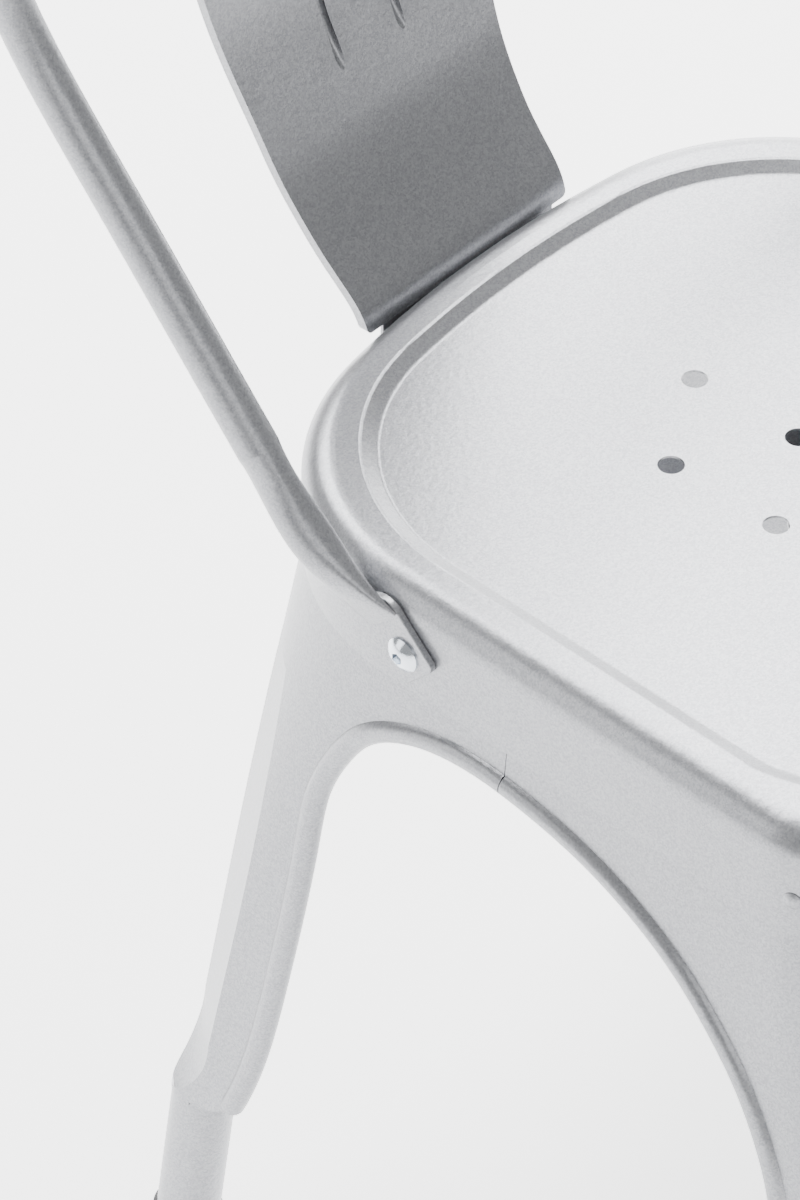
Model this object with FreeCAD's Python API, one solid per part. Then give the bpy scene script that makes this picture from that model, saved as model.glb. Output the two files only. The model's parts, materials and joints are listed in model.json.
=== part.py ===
"""Stacking bistro chair in pressed sheet steel, with a bent tube back and rubber feet.

Units are millimetres. While it is modelled, x = 0 is the middle of the chair, y = 0 the
middle drain hole of the seat, and z = 0 the floor. +Y points to the back of the chair and
+X to the sitter's left. Every solid is moved at the end so that the origin lies on the
floor under the middle of the chair's footprint.
"""
import FreeCAD, Part
import os
from math import acos, atan2, cos, degrees, exp, hypot, pi, radians, sin, sqrt

V = FreeCAD.Vector
X_AXIS, Y_AXIS, Z_AXIS = V(1, 0, 0), V(0, 1, 0), V(0, 0, 1)
FAR = 700.0                    # longer than anything in the chair, for cutting tools

# Seat pan
seat_height = 452.0            # floor to the raised rim
seat_half_width = 189.6        # at the middle drain hole
seat_taper = 0.038             # each side comes in by this much per millimetre backwards
seat_back = 186.8              # middle drain hole to the back edge
seat_back_bow = 550.0          # radius of the bowed back edge
seat_back_corner = 118.0
seat_front = 203.0             # middle drain hole to the front edge
seat_front_bow = 900.0
seat_front_corner = 46.0
dish_front_extra = 35.0        # the dish turns this much wider in the front corners
dish_back_extra = 14.0         # and in the back corners
seat_sheet = 1.2
skirt_depth = 54.0             # raised rim down to the skirt's lower edge
shoulder_radius = 15.0
rim_width = 21.0               # outer wall in to the top of the step
rim_rise = 0.8                 # the rim climbs this much inwards
step_width = 7.5
dish_depth = 3.8
crest_radius = 3.0             # rounding at the top of the step
dish_edge_radius = 4.0         # rounding at the foot of the step
drain_pitch = 57.5
drain_radius = 5.9

# Legs
leg_sheet = 1.5
leg_gap = 0.2                  # skirt to leg sheet
leg_lap = 34.0                 # how far the leg sheets reach up inside the skirt
leg_sections = 9               # outlines that the leg sheet is drawn through
seam_gap = 0.4                 # between neighbouring leg sheets
side_seam = -1.0               # y of the seam under the middle of each side
tube_radius = 14.8             # closed lower end of each leg
tube_wall = 2.0
tube_top = 105.0               # height at which the leg closes to a tube
sheet_lap = 9.0                # the leg sheet runs this far down over the tube
sheet_proud = 0.6              # and stands this far proud of it
rear_tube_top = (201.6, 164.1)
rear_tube_foot = (209.8, 173.0)
front_tube_top = (202.5, -206.0)
front_tube_foot = (211.3, -218.0)
end_taper = 0.01               # taper of the sides at the bottom of the leg sheets
end_bow = 5000.0               # bow of the ends there
rear_sag = 4.5                 # how far the rear faces bow in at mid height
rear_corner_fade = 1.6         # how fast the corner radius shrinks downwards
front_corner_fade = 1.3
bead_radius = 5.5              # rolled edge of the leg sheets
bead_wall = 1.5
bead_inset = 2.0               # bead axis behind the face of the sheet
facet_top = (220.0, 348.0)     # stacking facet: reach towards the corner, height
facet_foot = (258.0, 137.0)
facet_turn = (263.0, 116.0)    # where it sweeps out again
facet_end = (274.0, 99.0)

# Bead lines, from the seam down to the tip: (along the chair, height)
side_bead_back = [(30, 379), (55, 372.5), (78, 358), (92, 338), (102, 313), (106, 283), (111, 238),
                  (118, 188), (127.5, 138), (136, 112)]
side_bead_front = [(-22, 377), (-55, 369.5), (-81, 359), (-104, 345.5), (-123.5, 329), (-140, 311.5),
                   (-154, 291), (-165, 268), (-173, 238), (-178, 198), (-182, 148), (-185, 112)]
side_bead_crown = 379.5
back_bead = [(35, 382), (70, 372), (98, 351), (114, 320), (121, 283), (130, 243), (141, 193),
             (157, 143), (173, 112)]
front_bead = [(40, 382), (80, 373), (112, 354), (133, 328), (146, 296), (154, 258), (161, 218),
              (170, 168), (180, 112)]
end_bead_crown = 384.0

# Feet
foot_height = 16.0
foot_wall = 1.5
foot_floor = 5.0
foot_gap = 0.1

# Back hoop
hoop_radius = 9.5
hoop_wall = 1.5
hoop_tab_width = 25.0
hoop_tab_end = 12.0            # bolt to the cut end of the tab
hoop_tab_corner = 4.0
hoop_tab_thickness = 3.4
hoop_tab_gap = 0.1             # tab to skirt
hoop_tab_edge = 0.6
hoop_section_points = 24
hoop_bolt = (54.0, 420.3)      # y and height of the bolt that holds the tab
hoop_bend = [(66, 431.5), (80.5, 443), (95.5, 457.5), (110, 474.5), (126, 497.5)]
hoop_bend_out = [0.3, 4.0, 7.3, 9.4, 11.0]  # how far each of these stands out from the tab
hoop_kink = (225.0, 633.0)     # y and height where the lean starts to ease
hoop_kink_half_width = 209.0
hoop_arch_start = (213.0, 690.0)  # half width and height where the sides turn into the arch
hoop_top = 839.5               # height of the tube's axis at the top
hoop_ease = 56.0               # further lean above the kink
hoop_ease_length = 75.0
hoop_squareness = 0.7          # 1 is an ellipse, smaller is squarer
vent_radius = 1.5

# Back splat
splat_sheet = 1.5
splat_hem = 5.0                # depth of the folded side edges
splat_gap = 0.15
splat_corner = 3.0
splat_tab_half_width = 56.0
splat_tab_bottom = 405.0
splat_tab_top = 441.0
splat_side = [(65.5, 441.2), (70, 493), (76, 543), (80.5, 587), (86, 648), (90, 718), (92, 788),
              (92.5, 860)]
splat_lean = [(0, 441), (3, 450), (19, 469), (34, 488.5), (46, 509), (55, 530), (65, 552), (77, 583),
              (85, 618), (91.5, 663), (95.5, 708), (98, 753)]   # y from the tab, height
rib_spacing = 39.0
rib_radius = 2.5
rib_bottom = 539.0
rib_top = 798.0
rib_run_out = 12.0

# Cross brace
brace_width = 20.0
brace_thickness = 3.0
brace_drop = 10.0              # dish to the upper strap
brace_tab = 24.0
brace_bend = 3.0
brace_gap = 0.1

# Fasteners: shank radius, head radius, head height, socket across flats
m8_radius = 4.0
m8_head = (8.2, 4.4)
m8_socket = (5.0, 2.6)
m8_washer = (8.0, 1.6)
m8_nut = (13.0, 8.0)
m8_tail = 1.5                  # shank past the nut
m6_radius = 3.0
m6_head = (5.25, 3.3)
m6_socket = (4.0, 2.0)
m6_washer = (6.0, 1.6)
m6_nut = (10.0, 6.0)
m6_tail = 1.5
bolt_clearance = 0.3
thread_clearance = 0.05
splat_bolt_spacing = 60.0
splat_bolt_height = 421.0
rivet_radius = 2.4
rivet_head = (4.2, 1.6)
rivet_place = (-157.0, 417.0)  # y and height on each side of the skirt
rivet_slack = 0.2              # the formed head clears the hollow of the corner by this
brace_rivet_radius = 3.0
brace_rivet_head = (5.5, 2.2)

# Heights that follow from these
dish_height = seat_height - dish_depth
skirt_bottom = seat_height - skirt_depth
leg_top = skirt_bottom + leg_lap
sheet_bottom = tube_top - sheet_lap


class End:
    """One bowed end of an outline: its reach from y = 0, bow radius and corner radius."""

    def __init__(self, reach, bow, corner):
        self.reach, self.bow, self.corner = reach, bow, corner

    def inset(self, distance):
        return End(self.reach - distance, self.bow - distance, self.corner - distance)


class Plan:
    """Rounded outline seen from above, with two tapering sides and two bowed ends."""

    def __init__(self, half_width, taper, back, front):
        self.half_width, self.taper, self.back, self.front = half_width, taper, back, front

    def inset(self, distance):
        slant = hypot(1, self.taper)
        return Plan(self.half_width - distance * slant, self.taper,
                    self.back.inset(distance), self.front.inset(distance))

    def side(self, y):
        """Half width at y."""
        return self.half_width - self.taper * y

    def corner(self, end, taper):
        """Centre of the corner arc that joins the side to this end, with the end upwards."""
        slant = hypot(1, taper)
        k = self.half_width - end.corner * slant
        bow_centre = end.reach - end.bow
        b = k * taper + bow_centre
        c = k * k + bow_centre ** 2 - (end.bow - end.corner) ** 2
        along = (b + sqrt(b * b - slant * slant * c)) / slant ** 2
        return k - taper * along, along

    def end_points(self, end, taper):
        """Side tangent, arc middle and bow tangent, with x out and y towards the end."""
        across, along = self.corner(end, taper)
        start = atan2(taper, 1)
        stop = atan2(along - (end.reach - end.bow), across)
        return [(across + end.corner * cos(a), along + end.corner * sin(a))
                for a in (start, (start + stop) / 2, stop)]

    def wire(self, z):
        """Closed wire of two lines and six arcs at height z."""
        b1, b2, b3 = self.end_points(self.back, self.taper)
        f1, f2, f3 = [(x, -y) for x, y in self.end_points(self.front, -self.taper)]

        def at(point, sign=1):
            return V(sign * point[0], point[1], z)

        def arc(*points):
            return Part.Arc(*points).toShape()

        edges = [Part.makeLine(at(f1), at(b1)),
                 arc(at(b1), at(b2), at(b3)),
                 arc(at(b3), V(0, self.back.reach, z), at(b3, -1)),
                 arc(at(b3, -1), at(b2, -1), at(b1, -1)),
                 Part.makeLine(at(b1, -1), at(f1, -1)),
                 arc(at(f1, -1), at(f2, -1), at(f3, -1)),
                 arc(at(f3, -1), V(0, -self.front.reach, z), at(f3)),
                 arc(at(f3), at(f2), at(f1))]
        return Part.Wire(edges)

    def prism(self, low, high):
        return Part.Face(self.wire(low)).extrude(V(0, 0, high - low))


def box(x0, x1, y0, y1, z0, z1):
    return Part.makeBox(x1 - x0, y1 - y0, z1 - z0, V(x0, y0, z0))


def spline(points):
    curve = Part.BSplineCurve()
    curve.interpolate([V(*p) for p in points])
    return curve


def polygon(points):
    return Part.makePolygon([V(*p) for p in points + points[:1]])


def mirrored(shape):
    """The same shape on the other side of the chair."""
    return shape.mirror(V(0, 0, 0), X_AXIS)


def turned(shape, origin, axis):
    """A shape drawn along +Z from 0, laid along axis from origin."""
    copy = shape.copy()
    copy.Placement = FreeCAD.Placement(V(*origin), FreeCAD.Rotation(Z_AXIS, axis)) * copy.Placement
    return copy


seat_plan = Plan(seat_half_width, seat_taper, End(seat_back, seat_back_bow, seat_back_corner),
                 End(seat_front, seat_front_bow, seat_front_corner))
dish_plan = Plan(seat_half_width, seat_taper,
                 End(seat_back, seat_back_bow, seat_back_corner + dish_back_extra),
                 End(seat_front, seat_front_bow, seat_front_corner + dish_front_extra))
leg_plan_top = seat_plan.inset(seat_sheet + leg_gap)


# Seat pan
def pan_block(inset):
    """Solid under the pan's surface, with every face moved in by inset."""
    plan = seat_plan.inset(inset)
    edge = seat_height - rim_rise - inset
    crest = seat_height - inset
    bottom = skirt_bottom if inset == 0 else skirt_bottom - 1
    creep = inset * (hypot(step_width, dish_depth) - step_width) / dish_depth
    mouth = dish_plan.inset(rim_width - creep)
    block = Part.makeLoft([plan.wire(bottom), plan.wire(edge), mouth.wire(crest)], True, True)
    rim = [e for e in block.Edges if all(abs(v.Z - edge) < 0.01 for v in e.Vertexes)]
    block = block.makeFillet(shoulder_radius - inset, rim)
    floor = dish_plan.inset(rim_width + step_width - creep)
    slope = step_width / dish_depth
    above = dish_plan.inset(rim_width - creep - slope)
    pocket = Part.makeLoft([floor.wire(crest - dish_depth), mouth.wire(crest), above.wire(crest + 1)],
                           True, True)
    block = block.cut(pocket)
    block = block.makeFillet(crest_radius - inset, ring_edges(block, crest, mouth))
    return block.makeFillet(dish_edge_radius + inset, ring_edges(block, crest - dish_depth, floor))


def ring_edges(shape, height, plan):
    """Edges of a solid that lie on an outline at this height."""
    outline = plan.wire(height)
    found = []
    for edge in shape.Edges:
        middle = edge.valueAt((edge.FirstParameter + edge.LastParameter) / 2)
        if abs(middle.z - height) < 0.01 and outline.distToShape(Part.Vertex(middle))[0] < 0.05:
            found.append(edge)
    return found


def drain_holes():
    """One hole in the middle and six around it."""
    places = [(0, 0)] + [(drain_pitch * sin(k * pi / 3), drain_pitch * cos(k * pi / 3)) for k in range(6)]
    return [Part.makeCylinder(drain_radius, 30, V(x, y, dish_height - 15)) for x, y in places]


def seat_pan():
    pan = pan_block(0).cut(pan_block(seat_sheet))
    return pan.cut(drain_holes() + fixing_holes())


# Fixings, each drawn along +Z with the head at the top and the seat of the head at 0
def dome(radius, height, crown):
    """Button head: a short edge under a spherical cap."""
    edge = height * 0.2
    rise = height - edge
    ball = (radius ** 2 + rise ** 2) / (2 * rise)
    cap = Part.makeSphere(ball, V(0, 0, height - ball)).common(
        Part.makeCylinder(radius, rise, V(0, 0, edge)))
    head = Part.makeCylinder(radius, edge).fuse(cap).removeSplitter()
    return head.cut(box(-radius, radius, -radius, radius, height - crown, height + 1))


def hexagon(across_flats, height, z=0):
    corner = across_flats / sqrt(3)
    ring = [(corner * cos(k * pi / 3), corner * sin(k * pi / 3), z) for k in range(6)]
    return Part.Face(polygon(ring)).extrude(V(0, 0, height))


def button_bolt(radius, head, socket, length):
    head_radius, height = head
    across, depth = socket
    bolt = dome(head_radius, height, height * 0.08)
    bolt = bolt.fuse(Part.makeCylinder(radius, length, V(0, 0, -length)))
    bolt = bolt.makeChamfer(0.6, [e for e in bolt.Edges if e.BoundBox.ZMax < 0.01 - length])
    return bolt.cut(hexagon(across, depth + 1, height * 0.92 - depth))


def washer(size, bore):
    radius, thickness = size
    return Part.makeCylinder(radius, thickness).cut(Part.makeCylinder(bore, thickness))


def lock_nut(size, bore):
    """Hexagon with a plain collar on the far side."""
    across, height = size
    nut = hexagon(across, height * 0.75).common(cone_cap(across, height * 0.75))
    nut = nut.fuse(Part.makeCylinder(across * 0.42, height * 0.25, V(0, 0, height * 0.75)))
    return nut.cut(Part.makeCylinder(bore, height))


def cone_cap(across, height):
    """Turned cone that takes the corners off a hexagon at both faces."""
    flat, corner = across * 0.48, across / sqrt(3)
    bevel = (corner - flat) * 0.55
    low = Part.makeCone(flat, corner, bevel)
    high = Part.makeCone(corner, flat, bevel, V(0, 0, height - bevel))
    middle = Part.makeCylinder(corner, height - 2 * bevel, V(0, 0, bevel))
    return low.fuse([middle, high])


def rivet(radius, head, length):
    """Domed head above 0 and a flat formed head under the pack of sheets."""
    head_radius, height = head
    tail = Part.makeCylinder(head_radius * 0.85, height * 0.6, V(0, 0, -length - height * 0.6))
    shank = Part.makeCylinder(radius, length + 0.1, V(0, 0, -length - 0.05))
    return dome(head_radius, height, height * 0.05).fuse([shank, tail]).removeSplitter()


def skirt_point(y, height, out=0):
    """Point on the outer skirt wall at the sitter's left, and the wall's outward normal."""
    slant = hypot(1, seat_taper)
    normal = V(1 / slant, seat_taper / slant, 0)
    point = V(seat_plan.side(y), y, height)
    across, along = seat_plan.corner(seat_plan.front, -seat_taper)
    radius = seat_plan.front.corner
    if -y > along + radius * normal.y * -1:
        centre = V(across, -along, height)
        point = V(across + sqrt(radius ** 2 - (y + along) ** 2), y, height)
        normal = (point - centre).normalize()
    return point + normal * out, normal


# Packs of sheet under each head: the splat and hoop tabs lie on the skirt and leg sheets
wall_pack = seat_sheet + leg_gap + leg_sheet
hoop_pack = hoop_tab_gap + hoop_tab_thickness
splat_bolts_at = [(s * splat_bolt_spacing / 2, seat_back, splat_bolt_height) for s in (-1, 1)]
splat_pack = splat_gap + splat_sheet


def fixing_holes():
    """Holes through the skirt and leg sheets for every bolt and rivet."""
    holes = []
    for centre, normal, radius in ((*skirt_point(*hoop_bolt), m8_radius + bolt_clearance),
                                   (*skirt_point(*rivet_place), rivet_radius + thread_clearance)):
        hole = turned(Part.makeCylinder(radius, 40, V(0, 0, -20)), centre, normal)
        holes += [hole, mirrored(hole)]
    for place in splat_bolts_at:
        holes.append(turned(Part.makeCylinder(m6_radius + bolt_clearance, 40, V(0, 0, -20)), place, Y_AXIS))
    return holes


def bolt_set(radius, head, socket, washer_size, nut_size, tail, front, back):
    """Bolt, washer and nut along +Z: the head sits at front, the washer at -back."""
    length = front + back + washer_size[1] + nut_size[1] + tail
    bolt = button_bolt(radius, head, socket, length)
    bolt.translate(V(0, 0, front))
    ring = washer(washer_size, radius + bolt_clearance)
    ring.translate(V(0, 0, -back - washer_size[1]))
    nut = lock_nut(nut_size, radius + thread_clearance)
    nut.rotate(V(0, 0, 0), X_AXIS, 180)
    nut.translate(V(0, 0, -back - washer_size[1]))
    return bolt, ring, nut


def hoop_fixings():
    pieces = bolt_set(m8_radius, m8_head, m8_socket, m8_washer, m8_nut, m8_tail, hoop_pack, wall_pack)
    left = [turned(piece, *skirt_point(*hoop_bolt)) for piece in pieces]
    return [Part.makeCompound([piece, mirrored(piece)]) for piece in left]


def bow_sag(plan_end, x):
    """How far a bowed end lies inside its middle, at x."""
    return plan_end.bow - sqrt(plan_end.bow ** 2 - x ** 2)


def splat_fixings():
    back = wall_pack + bow_sag(seat_plan.back, splat_bolt_spacing / 2 + m6_washer[0])
    pieces = bolt_set(m6_radius, m6_head, m6_socket, m6_washer, m6_nut, m6_tail, splat_pack, back)
    return [Part.makeCompound([turned(piece, place, Y_AXIS) for place in splat_bolts_at])
            for piece in pieces]


def skirt_rivets():
    shape = rivet(rivet_radius, rivet_head, wall_pack + rivet_slack)
    left = turned(shape, *skirt_point(*rivet_place))
    return Part.makeCompound([left, mirrored(left)])


# Legs
def share(z):
    """0 at the skirt's lower edge and 1 at the bottom of the leg sheets."""
    return (skirt_bottom - z) / (skirt_bottom - sheet_bottom)


def tube_axis(top, foot, z):
    """x and y of a leg tube's axis at height z."""
    t = (tube_top - z) / tube_top
    return [a + (b - a) * t for a, b in zip(top, foot)]


def leg_end(seat_end, tube, z, sag, fade):
    """Bowed end of the leg sheets at height z, from the skirt to the leg tube."""
    s = share(z)
    reach = tube_radius + sheet_proud
    low = abs(tube[1]) + reach + bow_sag(End(0, end_bow, 0), tube[0])
    bow = 1 / ((1 - s) ** 2 / seat_end.bow + s / end_bow)
    corner = reach + (seat_end.corner - reach) * (1 - s) ** fade
    return End(seat_end.reach * (1 - s) + low * s - sag * sin(pi * s), bow, corner)


def leg_plan(z):
    """Outline of the outer faces of the leg sheets at height z."""
    s = share(z)
    rear = tube_axis(rear_tube_top, rear_tube_foot, sheet_bottom)
    front = tube_axis(front_tube_top, front_tube_foot, sheet_bottom)
    low = rear[0] + tube_radius + sheet_proud + end_taper * rear[1]
    return Plan(leg_plan_top.half_width * (1 - s) + low * s,
                leg_plan_top.taper * (1 - s) + end_taper * s,
                leg_end(leg_plan_top.back, rear, z, rear_sag, rear_corner_fade),
                leg_end(leg_plan_top.front, front, z, 0, front_corner_fade))


def envelope(inset):
    """Solid inside the leg sheets' faces, from inside the skirt to the leg tubes."""
    over = 1 if inset else 0
    step = (skirt_bottom - sheet_bottom) / (leg_sections - 1)
    levels = [skirt_bottom - step * k for k in range(leg_sections)]
    lower = Part.makeLoft([leg_plan(z).inset(inset).wire(z) for z in levels], True, False)
    upper = leg_plan_top.inset(inset).prism(skirt_bottom, leg_top + over)
    if not over:
        return [upper, lower]
    return [upper, lower, leg_plan(sheet_bottom).inset(inset).prism(sheet_bottom - over, sheet_bottom)]


def facet_tool(inward):
    """Everything beyond the stacking facet of the left rear leg."""
    def at(point):
        reach, height = point
        return V((reach - inward) / sqrt(2), (reach - inward) / sqrt(2), height)

    far = [at((FAR, facet_end[1])), at((FAR, facet_top[1]))]
    sweep = Part.BSplineCurve()
    sweep.interpolate([at(facet_foot), at(facet_turn), at(facet_end)])
    edges = [Part.makeLine(at(facet_top), at(facet_foot)), sweep.toShape(),
             Part.makeLine(at(facet_end), far[0]), Part.makeLine(far[0], far[1]),
             Part.makeLine(far[1], at(facet_top))]
    across = V(-1, 1, 0) * 150
    face = Part.Face(Part.Wire(edges))
    face.translate(across * -0.5)
    return face.extrude(across)


def arch_tool(line, crown, seam, limit, plane):
    """Opening under a bead line, as a slab through one face of a leg.

    The line starts at the seam, limit is where the sheet must stay whole, and plane turns
    a point (along, height) of the face into a vector."""
    curve = Part.BSplineCurve()
    curve.interpolate([plane(a, h) for a, h in [(seam, crown)] + line])
    tip = line[-1]
    side = 1 if limit > tip[0] else -1
    turn = Part.BSplineCurve()
    turn.interpolate([plane(*tip), plane(tip[0] + side * 9, tip[1] - 9.5), plane(limit, sheet_bottom + 2)])
    corners = [plane(limit, sheet_bottom + 2), plane(limit, 0), plane(seam, 0), plane(seam, crown)]
    edges = [curve.toShape(), turn.toShape()]
    edges += [Part.makeLine(a, b) for a, b in zip(corners, corners[1:])]
    return Part.Face(Part.Wire(edges))


def bead(points):
    """Outer and inner rod along a rolled edge, with a round tip at the last point."""
    path = Part.Wire(spline(points).toShape())
    start = V(*points[0])
    along = path.Edges[0].tangentAt(path.Edges[0].FirstParameter)
    rods = []
    for radius in (bead_radius, bead_radius - bead_wall):
        ring = Part.Wire(Part.makeCircle(radius, start, along))
        rods.append(path.makePipeShell([ring], True, False))
    tip = V(*points[-1])
    outer = rods[0].fuse(Part.makeSphere(bead_radius, tip))
    inner = rods[1].fuse(Part.makeSphere(bead_radius - bead_wall, tip))
    return outer, inner


def leg(rear):
    """One leg on the sitter's left, as a single pressed sheet with its tube end."""
    sign = 1 if rear else -1
    top, foot = (rear_tube_top, rear_tube_foot) if rear else (front_tube_top, front_tube_foot)
    seam = side_seam + sign * seam_gap / 2
    side_line = side_bead_back if rear else side_bead_front
    end_line = back_bead if rear else front_bead
    ends = sorted((seam, sign * FAR))
    quarter = box(seam_gap / 2, FAR, ends[0], ends[1], 0, FAR)
    outer = [piece.common(quarter) for piece in envelope(0)]
    inner = [piece.common(quarter) for piece in envelope(leg_sheet)]
    outer = outer[0].fuse(outer[1:])
    inner = inner[0].fuse(inner[1:])
    if rear:
        outer = outer.cut(facet_tool(0))
        inner = inner.cut(facet_tool(leg_sheet))
    sheet = outer.cut(inner)

    axis = tube_axis(top, foot, sheet_bottom)
    side_cut = arch_tool(side_line, side_bead_crown, side_seam, axis[1] - sign * 4,
                         lambda a, h: V(0, a, h)).extrude(V(FAR, 0, 0))
    end_cut = arch_tool(end_line, end_bead_crown, 0, axis[0] - 4,
                        lambda a, h: V(a, 0, h)).extrude(V(0, sign * FAR, 0))
    sheet = sheet.cut([side_cut, end_cut])

    def on_side(y, z):
        return leg_plan(z).side(y) - bead_inset, y, z

    def on_end(x, z):
        plan = leg_plan(z)
        end = plan.back if rear else plan.front
        return x, sign * (end.reach - bow_sag(end, x) - bead_inset), z

    side_outer, side_inner = bead([on_side(*p) for p in [(seam, side_bead_crown)] + side_line])
    end_outer, end_inner = bead([on_end(*p) for p in [(seam_gap / 2, end_bead_crown)] + end_line])
    tube_foot = V(foot[0], foot[1], 0)
    tube_line = V(top[0], top[1], tube_top) - tube_foot
    length = tube_line.Length
    tube = turned(Part.makeCylinder(tube_radius, length), tube_foot, tube_line)
    bore = turned(Part.makeCylinder(tube_radius - tube_wall, length - 4 * tube_wall), tube_foot, tube_line)
    if rear:
        tube = tube.cut(facet_tool(leg_sheet))
    shape = sheet.fuse([side_outer, end_outer, tube], 1e-3).cut([side_inner, end_inner, bore])
    shape = shape.cut([box(-FAR, FAR, -FAR, FAR, -FAR, foot_floor)] + fixing_holes())
    return max(shape.common(quarter).Solids, key=lambda solid: solid.Volume)


def foot(rear):
    """Moulded cap over the end of a leg tube, flat on the floor."""
    top, low = (rear_tube_top, rear_tube_foot) if rear else (front_tube_top, front_tube_foot)
    base = V(low[0], low[1], 0)
    line = V(top[0], top[1], tube_top) - base
    height = foot_height * line.Length / line.z
    start = base - line * (20 / line.Length)
    radius = tube_radius + foot_gap
    body = Part.makeCylinder(radius + foot_wall, height + 20)
    body = body.makeFillet(0.8, [e for e in body.Edges if e.BoundBox.ZMin > height + 19])
    body = turned(body, start, line)
    cup = turned(Part.makeCylinder(radius, height + 20), base, line)
    body = body.cut(box(-FAR, FAR, -FAR, FAR, -FAR, 0))
    return body.cut(cup.cut(box(-FAR, FAR, -FAR, FAR, -FAR, foot_floor)))


# Back hoop
def hoop_y(z):
    """y of the hoop's axis above the kink: the lean eases off towards the top."""
    kink_y, kink_z = hoop_kink
    return kink_y + hoop_ease * (1 - exp((kink_z - z) / hoop_ease_length))


def hoop_arch(angle):
    """Point of the hoop's axis above the sides; 0 is their end and 90 degrees the top."""
    half_width, start = hoop_arch_start
    x = half_width * cos(angle) ** hoop_squareness
    z = start + (hoop_top - start) * sin(angle) ** hoop_squareness
    return x, hoop_y(z), z


def hoop_crown_height(x):
    """Height of the hoop's axis above a point of the splat."""
    angle = acos((abs(x) / hoop_arch_start[0]) ** (1 / hoop_squareness))
    return hoop_arch(angle)[2]


def tab_centre():
    return skirt_point(*hoop_bolt, hoop_pack - hoop_tab_thickness / 2)


def oval(centre, along, half_width, half_thickness):
    """Closed section across the hoop: wide across the hoop's plane, thin within it."""
    wide = (Y_AXIS - along * along.y).normalize()
    thin = along.cross(wide)
    if half_width == half_thickness:
        circle = Part.Circle(centre, along, half_width)
        circle.XAxis = wide
        return Part.Wire(circle.toShape())
    power = 0.45 + 0.55 * half_thickness / half_width
    ring = []
    for k in range(hoop_section_points):
        a = 2 * pi * k / hoop_section_points
        reach = abs(sin(a)) ** power * (1 if k <= hoop_section_points / 2 else -1)
        ring.append(centre + wide * (half_width * cos(a)) + thin * (half_thickness * reach))
    curve = Part.BSplineCurve()
    curve.interpolate(ring, True)
    return Part.Wire(curve.toShape())


def hoop_bend_centres():
    """Points of the hoop's axis from the tab to the start of the round tube."""
    tab, normal = tab_centre()
    return [tab] + [V(tab.x + out, y, z) for (y, z), out in zip(hoop_bend, hoop_bend_out)]


def hoop_path():
    """Axis of the round tube, from one side over the top to the other."""
    start = hoop_bend_centres()[-1]
    kink = V(hoop_kink_half_width, *hoop_kink)
    left = [start + (kink - start) * t for t in (0, 0.35, 0.7, 1)]
    side_x, side_z = [(a + b) / 2 for a, b in zip((kink.x, kink.z), hoop_arch_start)]
    left.append(V(side_x, hoop_y(side_z), side_z))
    left += [V(*hoop_arch(radians(a))) for a in (0, 6, 14, 25, 37, 50, 62, 76)]
    points = left + [V(*hoop_arch(pi / 2))] + [V(-p.x, p.y, p.z) for p in reversed(left)]
    curve = Part.BSplineCurve()
    curve.interpolate(points)
    return Part.Wire(curve.toShape())


def hoop_flare(start):
    """Tube flattened towards the tab, ending where the round tube starts."""
    centres = hoop_bend_centres()
    wires = []
    for k in range(1, len(centres)):
        last = k == len(centres) - 1
        along = start if last else (centres[k + 1] - centres[k - 1]).normalize()
        t = min(1.0, (k - 1) / (len(centres) - 4))
        ease = t * t * (3 - 2 * t)
        wide = (hoop_tab_width / 2 - 0.2) * (1 - ease) + hoop_radius * ease
        thick = (hoop_tab_thickness / 2 - 0.1) * (1 - ease) + hoop_radius * ease
        wires.append(oval(centres[k], along, wide, thick))
    return Part.makeLoft(wires, True, False)


def hoop_tab():
    """Flat tab at the sitter's left: cut square at its end, round where it runs into the tube."""
    tab, normal = tab_centre()
    first = hoop_bend_centres()[1]
    length = hypot(first.z - tab.z, first.y - tab.y)
    half, thickness = hoop_tab_width / 2, hoop_tab_thickness
    plate = box(-hoop_tab_end, length, -half, half, -thickness / 2, thickness / 2)
    corners = [e for e in plate.Edges if e.BoundBox.ZLength > thickness / 2 and e.BoundBox.XMax < 0]
    plate = plate.makeFillet(hoop_tab_corner, corners)
    tail = Part.makeCylinder(half, thickness, V(length, 0, -thickness / 2))
    plate = plate.fuse(tail).removeSplitter()
    plate = plate.makeFillet(hoop_tab_edge, [e for e in plate.Edges if e.BoundBox.ZLength < 0.01])
    plate.rotate(V(0, 0, 0), Z_AXIS, degrees(atan2(first.z - tab.z, first.y - tab.y)))
    plate.rotate(V(0, 0, 0), V(1, 1, 1), 120)
    plate.rotate(V(0, 0, 0), Z_AXIS, degrees(atan2(seat_taper, 1)))
    plate.translate(tab)
    return plate


def back_hoop():
    path = hoop_path()
    start = path.Edges[0].tangentAt(path.Edges[0].FirstParameter)
    bend = hoop_bend_centres()[-1]
    tube, bore = [path.makePipeShell([oval(bend, start, r, r)], True, False)
                  for r in (hoop_radius, hoop_radius - hoop_wall)]
    end = hoop_flare(start).fuse(hoop_tab())
    hoop = tube.fuse([end, mirrored(end)]).cut(bore)
    vent = Part.makeCylinder(vent_radius, 2 * hoop_radius, bend + start * 10, V(-1, 0, 0))
    hole = turned(Part.makeCylinder(m8_radius + bolt_clearance, 20, V(0, 0, -10)), *tab_centre())
    return hoop.cut([vent, mirrored(vent), hole, mirrored(hole)])


# Back splat
def splat_points():
    """Front face of the splat in the middle, as (y, z) from the tab to the hoop."""
    face = seat_back + splat_gap
    top = hoop_top + hoop_radius * 0.3
    behind = hoop_y(hoop_top) + hoop_radius + splat_gap
    return [(face + y, z) for y, z in splat_lean] + [(behind - 0.4, 798), (behind, top + 5)]


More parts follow.
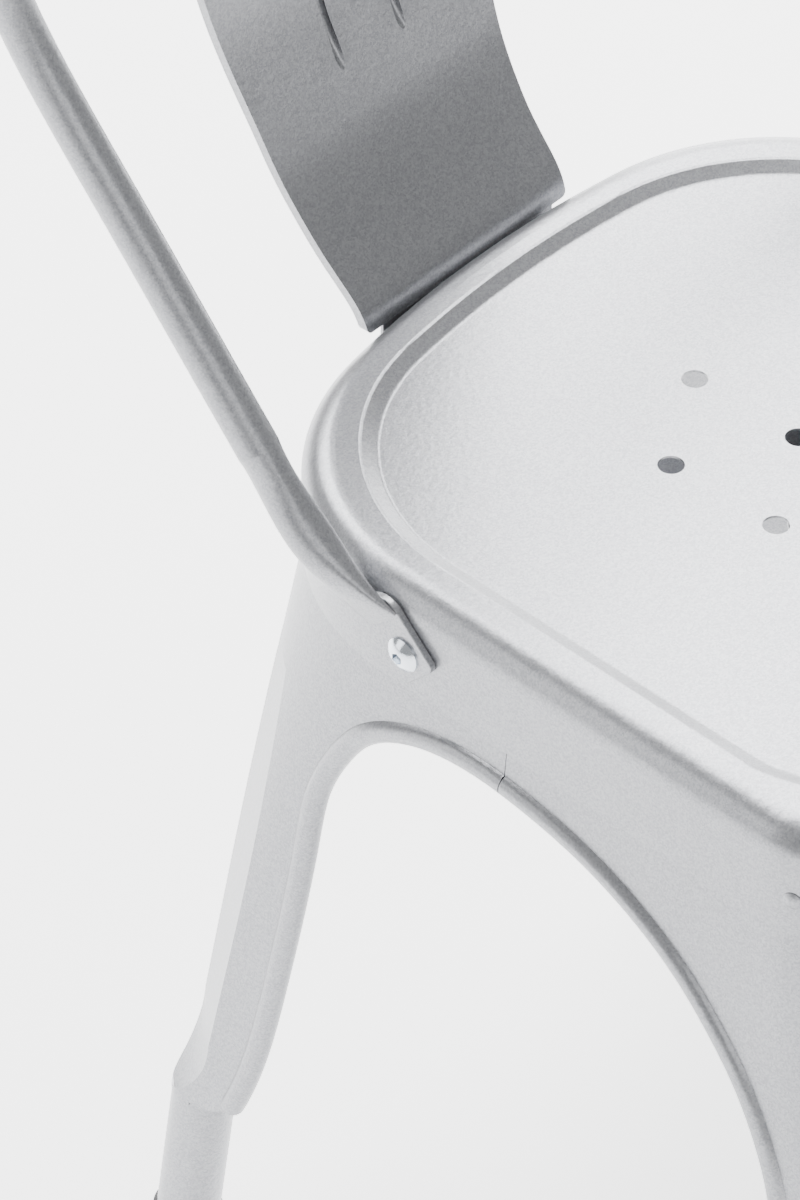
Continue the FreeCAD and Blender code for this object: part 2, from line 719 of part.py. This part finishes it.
def splat_slab(front, back):
    """Slab between two distances behind the front face, across the whole chair."""
    curve = spline([(0, y, z) for y, z in splat_points()])
    first, last = curve.FirstParameter, curve.LastParameter
    sides = []
    for depth in (front, back):
        ring = []
        for k in range(33):
            u = first + (last - first) * k / 32
            along = curve.tangent(u)[0]
            ring.append(curve.value(u) + along.cross(X_AXIS).normalize() * depth)
        line = Part.BSplineCurve()
        line.interpolate(ring)
        sides.append((line.toShape(), ring))
    (face, face_ring), (rear, rear_ring) = sides
    wire = Part.Wire([face, Part.makeLine(face_ring[-1], rear_ring[-1]), rear,
                      Part.makeLine(rear_ring[0], face_ring[0])])
    slab = Part.Face(wire).extrude(V(2 * FAR, 0, 0))
    slab.translate(V(-FAR, 0, 0))
    return slab


def splat_outline(inset, low):
    """Prism through the splat's shape as seen from the front."""
    side = [(x - inset, 0, z) for x, z in splat_side]
    curve = spline(side)
    bottom = splat_side[0][1]
    left = curve.toShape()
    right = mirrored(left)
    ends = left.valueAt(left.LastParameter), left.valueAt(left.FirstParameter)
    top = Part.makeLine(ends[0], V(-ends[0].x, 0, ends[0].z))
    base = Part.makeLine(V(-ends[1].x, 0, bottom), ends[1])
    prism = Part.Face(Part.Wire([base, left, top, right])).extrude(V(0, FAR, 0))
    if low:
        edges = [e for e in prism.Edges if abs(e.BoundBox.ZMax - bottom) < 0.01 and e.BoundBox.YLength > 1]
        prism = prism.makeFillet(splat_corner, edges)
    return prism


def parameter_at(curve, height):
    """Parameter where a rising curve reaches a height."""
    low, high = curve.FirstParameter, curve.LastParameter
    for _ in range(40):
        middle = (low + high) / 2
        if curve.value(middle).z < height:
            low = middle
        else:
            high = middle
    return low


def rib_rod(x, radius):
    """Rod along the front face of the splat, whose ends lead out of the sheet forwards."""
    face = spline([(0, y, z) for y, z in splat_points()])
    first, last = parameter_at(face, rib_bottom), parameter_at(face, rib_top)
    run_out = rib_run_out * (last - first) / (rib_top - rib_bottom)
    stops = [first - run_out] + [first + (last - first) * k / 6 for k in range(7)] + [last + run_out]
    points = [face.value(u) + V(x, 0, 0) for u in stops]
    for k in (0, -1):
        across = face.tangent(stops[k])[0].cross(X_AXIS).normalize()
        points[k] = points[k] - across * (radius + 2)
    path = Part.BSplineCurve()
    path.interpolate(points)
    path = Part.Wire(path.toShape())
    edge = path.Edges[0]
    ring = Part.Wire(Part.makeCircle(radius, points[0], edge.tangentAt(edge.FirstParameter)))
    return path.makePipeShell([ring], True, False)


def back_splat():
    sheet = splat_slab(0, splat_sheet).common(splat_outline(0, True))
    rim = splat_outline(0, True).cut(splat_outline(splat_sheet, False))
    rim = rim.cut(box(-splat_side[0][0] + splat_corner, splat_side[0][0] - splat_corner, 0, FAR,
                      0, splat_side[0][1] + 2 * splat_corner))
    hem = splat_slab(0, splat_hem).common(rim)
    face = seat_back + splat_gap
    tab = box(-splat_tab_half_width, splat_tab_half_width, face, face + splat_sheet,
              splat_tab_bottom, splat_tab_top + 0.5)
    corners = [e for e in tab.Edges if e.BoundBox.YLength > 1 and e.BoundBox.ZMax < splat_tab_top]
    tab = tab.makeFillet(splat_corner, corners)
    neck = splat_slab(0, splat_sheet).common(
        box(-splat_tab_half_width, splat_tab_half_width, 0, FAR, splat_tab_top, splat_side[0][1] + 2))
    splat = sheet.fuse([hem, tab, neck])
    behind = splat_slab(splat_sheet / 3, 20)
    for x in (-rib_spacing / 2, rib_spacing / 2):
        swell = rib_rod(x, rib_radius + splat_sheet).common(behind)
        splat = splat.fuse(swell).cut(rib_rod(x, rib_radius))
    arch = [(x, 0, hoop_crown_height(x) + hoop_radius * 0.3) for x in range(-120, 121, 20)]
    above = Part.Wire([spline(arch).toShape(), Part.makeLine(V(*arch[-1]), V(120, 0, FAR + 300)),
                       Part.makeLine(V(120, 0, FAR + 300), V(-120, 0, FAR + 300)),
                       Part.makeLine(V(-120, 0, FAR + 300), V(*arch[0]))])
    splat = splat.cut(Part.Face(above).extrude(V(0, FAR, 0)))
    holes = [turned(Part.makeCylinder(m6_radius + bolt_clearance, 40, V(0, 0, -20)), place, Y_AXIS)
             for place in splat_bolts_at]
    return splat.cut(holes)


# Cross brace
def brace_line():
    """Ends of the strap that runs from the front right corner to the rear left one."""
    inner = leg_plan_top.inset(leg_sheet)
    ends = []
    for end, taper, sign in ((inner.front, -inner.taper, -1), (inner.back, inner.taper, 1)):
        across, along = inner.corner(end, taper)
        radius = sqrt(end.corner ** 2 - (brace_width / 2) ** 2) - brace_gap
        centre = V(sign * across, sign * along, 0)
        ends.append(centre + V(centre).normalize() * radius)
    return ends


def brace_crossing():
    """Where the straps cross, on the chair's centre line, at the top of the upper one."""
    start, stop = brace_line()
    t = -start.x / (stop.x - start.x)
    return V(0, start.y + (stop.y - start.y) * t, dish_height - brace_drop)


def brace_strap(level):
    """Strap on the brace line; level 0 is the upper strap and 1 the one under it.

    Its ends turn down inside the leg corners."""
    start, stop = brace_line()
    line = stop - start
    length = line.Length
    top = dish_height - brace_drop - level * brace_thickness
    half = brace_width / 2
    bar = box(0, length, -half, half, top - brace_thickness, top)
    for x in (0, length - brace_thickness):
        bar = bar.fuse(box(x, x + brace_thickness, -half, half, top - brace_tab, top))
    bar = bar.removeSplitter()
    outside = [e for e in bar.Edges if e.BoundBox.YLength > half and abs(e.BoundBox.ZMin - top) < 0.01
               and (e.BoundBox.XMax < 1 or e.BoundBox.XMin > length - 1)]
    bar = bar.makeFillet(brace_bend - 0.1, outside)
    bar.rotate(V(0, 0, 0), Z_AXIS, degrees(atan2(line.y, line.x)))
    bar.translate(V(start.x, start.y, 0))
    hole = brace_crossing() - V(0, 0, 20)
    return bar.cut(Part.makeCylinder(brace_rivet_radius + thread_clearance, 40, hole))


def brace_rivet():
    return turned(rivet(brace_rivet_radius, brace_rivet_head, 2 * brace_thickness), brace_crossing(), Z_AXIS)


def build():
    """Every node of the chair by name."""
    rear, front = leg(True), leg(False)
    rear_foot, front_foot = foot(True), foot(False)
    hoop_bolts, hoop_washers, hoop_nuts = hoop_fixings()
    splat_bolts, splat_washers, splat_nuts = splat_fixings()
    return {
        "seat_pan": seat_pan(),
        "leg_rear_left": rear, "leg_rear_right": mirrored(rear),
        "leg_front_left": front, "leg_front_right": mirrored(front),
        "foot_rear_left": rear_foot, "foot_rear_right": mirrored(rear_foot),
        "foot_front_left": front_foot, "foot_front_right": mirrored(front_foot),
        "back_hoop": back_hoop(), "back_splat": back_splat(),
        "brace_strap_upper": brace_strap(0), "brace_strap_lower": mirrored(brace_strap(1)),
        "brace_rivet": brace_rivet(), "skirt_rivets": skirt_rivets(),
        "hoop_bolts": hoop_bolts, "hoop_washers": hoop_washers, "hoop_nuts": hoop_nuts,
        "splat_bolts": splat_bolts, "splat_washers": splat_washers, "splat_nuts": splat_nuts,
    }


nodes = build()
boxes = [shape.optimalBoundingBox(False, False) for shape in nodes.values()]
shift = V(0, -(min(b.YMin for b in boxes) + max(b.YMax for b in boxes)) / 2, 0)
os.makedirs("parts", exist_ok=True)
for name, shape in nodes.items():
    shape.translate(shift)
    shape.exportStep("parts/" + name + ".step")
print("footprint centre is", round(-shift.y, 2), "mm behind the middle drain hole")
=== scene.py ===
import json

import bpy
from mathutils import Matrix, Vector

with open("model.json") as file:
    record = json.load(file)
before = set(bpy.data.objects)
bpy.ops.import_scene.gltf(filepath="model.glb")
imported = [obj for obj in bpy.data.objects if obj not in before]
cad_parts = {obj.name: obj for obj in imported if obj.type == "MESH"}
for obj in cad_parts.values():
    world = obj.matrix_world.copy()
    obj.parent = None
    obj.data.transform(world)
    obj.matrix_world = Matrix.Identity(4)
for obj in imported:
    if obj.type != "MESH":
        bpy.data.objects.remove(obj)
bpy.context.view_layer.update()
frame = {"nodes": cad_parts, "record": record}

# View of the photograph, in metres, with lens and sensor in millimetres
CAMERA_BACK = Vector((-0.55315, -0.49609, 0.66927))
CAMERA_PLACE = Vector((-1.73459, -1.35727, 2.31724))
LENS = 202.77
SENSOR_WIDTH = 36.0
CLIP_NEAR, CLIP_FAR = 0.05, 60.0

# Studio, where each softbox has its place, target, width and height in metres, and its power in watts
FLOOR_REACH = 9.0
FLOOR_GLOW = 1.7
WORLD_LIGHT = 0.5
WHITE = (1, 1, 1, 1)
SOFTBOXES = {
    "overhead_back": ((0.9, 1.6, 2.6), (0, 0, 0.4), (3.0, 2.6), 330.0),
    "left_back": ((-2.6, 1.9, 1.5), (0, 0, 0.4), (1.6, 2.2), 30.0),
    "front_fill": ((-1.5, -2.7, 2.2), (0, 0, 0.5), (2.2, 1.6), 26.0),
    "right_low": ((2.7, 1.5, 0.8), (0, 0, 0.45), (2.4, 1.5), 95.0),
}

# Darkest and brightest tone of each finish
COAT_TONES = (0.19, 0.195, 0.212, 1), (0.43, 0.435, 0.452, 1)
ZINC_TONES = (0.60, 0.66, 0.74, 1), (0.86, 0.89, 0.92, 1)
RUBBER_TONES = (0.035, 0.035, 0.037, 1), (0.085, 0.085, 0.088, 1)
FLOOR_TONES = (0.94, 0.94, 0.94, 1), (0.96, 0.96, 0.96, 1)

# Share of each pattern in the powder coat's tone, and of the flakes in its relief
FLAKE_SHARE, GRAIN_SHARE, CLOUD_SHARE = 0.42, 0.38, 0.20
FLAKE_RELIEF = 0.4

# Colour sockets of the Mix node, whose names are shared with its other types
MIX_FIRST, MIX_SECOND, MIX_RESULT = 6, 7, 2


class Value:
    """A node's output that can be used in sums, so that shader maths reads as it is written."""

    def __init__(self, finish, socket):
        self.finish, self.socket = finish, socket

    def _maths(self, operation, first, second):
        return self.finish.node("Math", {"operation": operation}, {0: first, 1: second})[0]

    def __add__(self, other):
        return self._maths("ADD", self, other)

    def __radd__(self, other):
        return self._maths("ADD", other, self)

    def __mul__(self, other):
        return self._maths("MULTIPLY", self, other)

    def __rmul__(self, other):
        return self._maths("MULTIPLY", other, self)


class Outputs:
    """The outputs of a node, by number or name."""

    def __init__(self, finish, node):
        self.finish, self.node = finish, node

    def __getitem__(self, key):
        return Value(self.finish, self.node.outputs[key])


class Finish:
    """A node material for one of the scene's surfaces, with patterns per metre of Object coordinates."""

    def __init__(self, name):
        self.material = bpy.data.materials.new(name)
        self.material.use_nodes = True
        self.tree = self.material.node_tree
        self.tree.nodes.clear()

    def node(self, kind, settings=None, inputs=None):
        """Adds a shader node, with its settings first and then the values or links of its sockets."""
        node = self.tree.nodes.new("ShaderNode" + kind)
        for key, value in (settings or {}).items():
            setattr(node, key, value)
        for key, value in (inputs or {}).items():
            if isinstance(value, Value):
                self.tree.links.new(value.socket, node.inputs[key])
            else:
                node.inputs[key].default_value = value
        return Outputs(self, node)

    def place(self):
        return self.node("TexCoord")["Object"]

    def noise(self, scale, detail, roughness=0.5):
        inputs = {"Vector": self.place(), "Scale": scale, "Detail": detail, "Roughness": roughness}
        return self.node("TexNoise", {}, inputs)["Fac"]

    def blend(self, factor, tones):
        """Colour between two tones."""
        inputs = {"Factor": factor, MIX_FIRST: tones[0], MIX_SECOND: tones[1]}
        return self.node("Mix", {"data_type": "RGBA"}, inputs)[MIX_RESULT]

    def relief(self, height, strength, distance):
        """Bumps from a pattern, with the distance in metres."""
        inputs = {"Strength": strength, "Distance": distance, "Height": height}
        return self.node("Bump", {}, inputs)[0]

    def surface(self, **sockets):
        """Ends the material. An underscore stands for a space in a socket's name."""
        inputs = {key.replace("_", " "): value for key, value in sockets.items()}
        shader = self.node("BsdfPrincipled", {}, inputs)
        self.node("OutputMaterial", {}, {"Surface": shader[0]})
        return self.material


def powder_coat():
    """Silver-grey coat: fine bright flakes in a satin metallic base under a thin clear layer."""
    coat = Finish("silver powder coat")
    flake = coat.node("TexVoronoi", {}, {"Vector": coat.place(), "Scale": 1300.0})
    tone = coat.node("SeparateColor", {}, {"Color": flake["Color"]})[0]
    cloud = coat.noise(scale=7.0, detail=3.0)
    grain = coat.noise(scale=620.0, detail=3.0, roughness=0.65)
    light = tone * FLAKE_SHARE + grain * GRAIN_SHARE + cloud * CLOUD_SHARE
    colour = coat.blend(light, COAT_TONES)
    peel = coat.noise(scale=330.0, detail=1.0)
    bump = coat.relief(peel + tone * FLAKE_RELIEF, strength=0.16, distance=0.0006)
    return coat.surface(Base_Color=colour, Metallic=0.70, Roughness=0.27 + grain * 0.10,
                        Normal=bump, Coat_Weight=0.15, Coat_Roughness=0.18)


def zinc_plate():
    """Bright plated steel, slightly blue, with faint cloudy patches."""
    zinc = Finish("zinc plate")
    patch = zinc.noise(scale=160.0, detail=3.0)
    colour = zinc.blend(patch, ZINC_TONES)
    bump = zinc.relief(zinc.noise(scale=900.0, detail=2.0), strength=0.15, distance=0.0003)
    return zinc.surface(Base_Color=colour, Metallic=1.0, Roughness=0.10 + patch * 0.12, Normal=bump)


def foot_rubber():
    """Dark moulded rubber with a dusty bloom."""
    rubber = Finish("foot rubber")
    bloom = rubber.noise(scale=60.0, detail=4.0)
    colour = rubber.blend(bloom, RUBBER_TONES)
    bump = rubber.relief(rubber.noise(scale=1400.0, detail=2.0), strength=0.2, distance=0.0005)
    return rubber.surface(Base_Color=colour, Roughness=0.62 + bloom * 0.2, Normal=bump)


def studio_floor():
    """Plain pale floor that glows a little, as in an evenly lit studio."""
    floor = Finish("studio floor")
    colour = floor.blend(floor.noise(scale=2.0, detail=1.0), FLOOR_TONES)
    return floor.surface(Base_Color=colour, Roughness=0.9, Emission_Color=WHITE,
                         Emission_Strength=FLOOR_GLOW)


def paint(finish, names):
    """Gives CAD nodes a finish, and leaves their meshes alone."""
    for name in names:
        node = frame["nodes"][name]
        node.data.materials.clear()
        node.data.materials.append(finish)


def add_camera():
    camera = bpy.data.cameras.new("photo view")
    camera.lens = LENS
    camera.sensor_width = SENSOR_WIDTH
    camera.clip_start, camera.clip_end = CLIP_NEAR, CLIP_FAR
    holder = bpy.data.objects.new("photo view", camera)
    holder.rotation_mode = "QUATERNION"
    holder.rotation_quaternion = (-CAMERA_BACK).to_track_quat("-Z", "Y")
    holder.location = CAMERA_PLACE
    bpy.context.scene.collection.objects.link(holder)
    bpy.context.scene.camera = holder


def softbox(name, place, target, size, power):
    """Area light aimed at a point."""
    light = bpy.data.lights.new(name, "AREA")
    light.shape = "RECTANGLE"
    light.size, light.size_y = size
    light.energy = power
    holder = bpy.data.objects.new(name, light)
    holder.location = place
    holder.rotation_mode = "QUATERNION"
    holder.rotation_quaternion = (Vector(place) - Vector(target)).to_track_quat("Z", "Y")
    bpy.context.scene.collection.objects.link(holder)


def add_floor():
    mesh = bpy.data.meshes.new("studio_floor")
    corners = [(x * FLOOR_REACH, y * FLOOR_REACH, 0) for x, y in ((-1, -1), (1, -1), (1, 1), (-1, 1))]
    mesh.from_pydata(corners, [], [(0, 1, 2, 3)])
    mesh.materials.append(studio_floor())
    floor = bpy.data.objects.new("studio_floor", mesh)
    bpy.context.scene.collection.objects.link(floor)


def add_lights():
    world = bpy.data.worlds.new("studio")
    world.use_nodes = True
    back = world.node_tree.nodes["Background"]
    back.inputs["Color"].default_value = WHITE
    back.inputs["Strength"].default_value = WORLD_LIGHT
    bpy.context.scene.world = world
    for name, (place, target, size, power) in SOFTBOXES.items():
        softbox(name, place, target, size, power)


slots = {s["node"]: s["material_slot"] for s in frame["record"]["subparts"]}
finishes = {"frame": powder_coat(), "fasteners": zinc_plate(), "feet": foot_rubber()}
for slot_name, finish in finishes.items():
    paint(finish, [node for node, slot in slots.items() if slot == slot_name])
add_floor()
add_lights()
add_camera()
